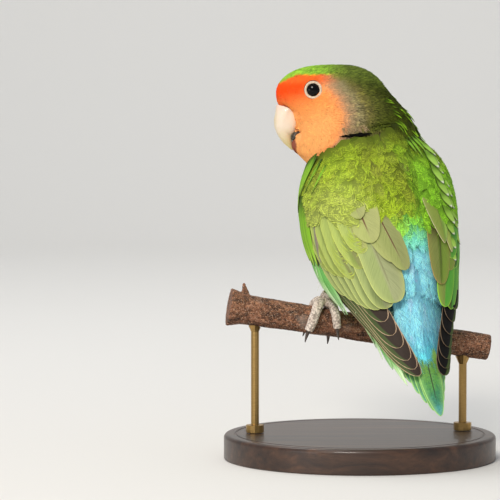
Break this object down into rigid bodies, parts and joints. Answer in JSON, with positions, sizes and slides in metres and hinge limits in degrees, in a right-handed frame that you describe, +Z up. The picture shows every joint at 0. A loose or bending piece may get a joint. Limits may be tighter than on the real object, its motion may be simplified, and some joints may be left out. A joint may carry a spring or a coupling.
{
  "type": "life-size parrot model on a perch",
  "caption": "Still life-size model of a small short-tailed parrot gripping a cut branch and looking over its shoulder, on a round stand with rods.",
  "frame": {"origin": "centre of the round base's underside, where it rests on a surface", "axes": "+Z up; +Y away from the viewer of the picture, +X to that viewer's right; the bird's back is towards -Y"},
  "size_m": [0.109, 0.109, 0.1581],
  "materials": {
    "face_plumage": "soft orange-red feathers",
    "nape_plumage": "soft olive-green feathers",
    "body_plumage": "soft yellow-green feathers",
    "wing_plumage": "smooth olive-green feathers",
    "tail_plumage": "smooth blue and green feathers",
    "bill_horn": "satin ivory horn",
    "eye": "wet gloss",
    "eye_ring": "matt off-white skin",
    "foot_skin": "dry scaled skin",
    "claw_horn": "satin dark horn",
    "bark": "rough bark",
    "stand_wood": "oiled dark wood",
    "rod_brass": "brushed brass"
  },
  "bodies": {
    "root": {"head": "face_plumage", "neck": "nape_plumage", "torso": "body_plumage", "bill_upper": "bill_horn", "bill_lower": "bill_horn", "tail": "tail_plumage", "perch": "bark", "stand_base": "stand_wood", "eye_left": "eye", "eyelid_left": "eye_ring", "thigh_left": "body_plumage", "leg_left": "foot_skin", "wing_left": "wing_plumage", "stand_rod_left": "rod_brass", "toe_left_1": "foot_skin", "claw_left_1": "claw_horn", "toe_left_2": "foot_skin", "claw_left_2": "claw_horn", "toe_left_3": "foot_skin", "claw_left_3": "claw_horn", "toe_left_4": "foot_skin", "claw_left_4": "claw_horn", "eye_right": "eye", "eyelid_right": "eye_ring", "thigh_right": "body_plumage", "leg_right": "foot_skin", "wing_right": "wing_plumage", "stand_rod_right": "rod_brass", "toe_right_1": "foot_skin", "claw_right_1": "claw_horn", "toe_right_2": "foot_skin", "claw_right_2": "claw_horn", "toe_right_3": "foot_skin", "claw_right_3": "claw_horn", "toe_right_4": "foot_skin", "claw_right_4": "claw_horn"}
  },
  "joints": []
}
